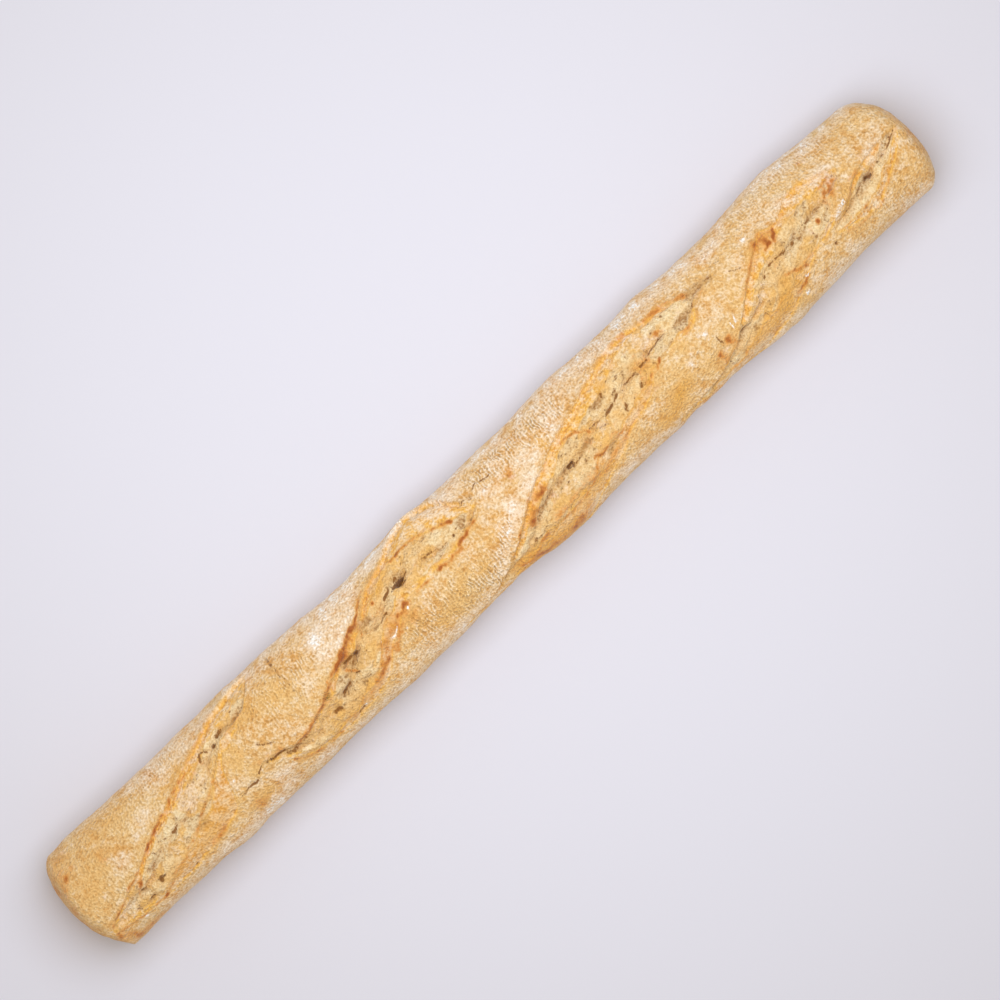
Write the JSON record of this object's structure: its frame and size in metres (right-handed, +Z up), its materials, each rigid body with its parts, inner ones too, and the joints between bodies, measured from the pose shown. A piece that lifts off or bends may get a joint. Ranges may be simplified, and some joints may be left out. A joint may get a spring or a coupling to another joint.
{
  "type": "rustic baguette",
  "caption": "Long crusty loaf of bread with blunt ends, a flat sole and slanting scores torn open along the top.",
  "frame": {"origin": "on the flat sole, under the middle of the loaf", "axes": "+X along the loaf, +Y towards the side on which the lifted edges of the scores lie, +Z up from the sole"},
  "size_m": [0.5497, 0.065, 0.0463],
  "materials": {
    "crust": "dull baked crust with a light dusting of flour"
  },
  "bodies": {
    "root": {"loaf": "crust"}
  },
  "joints": []
}
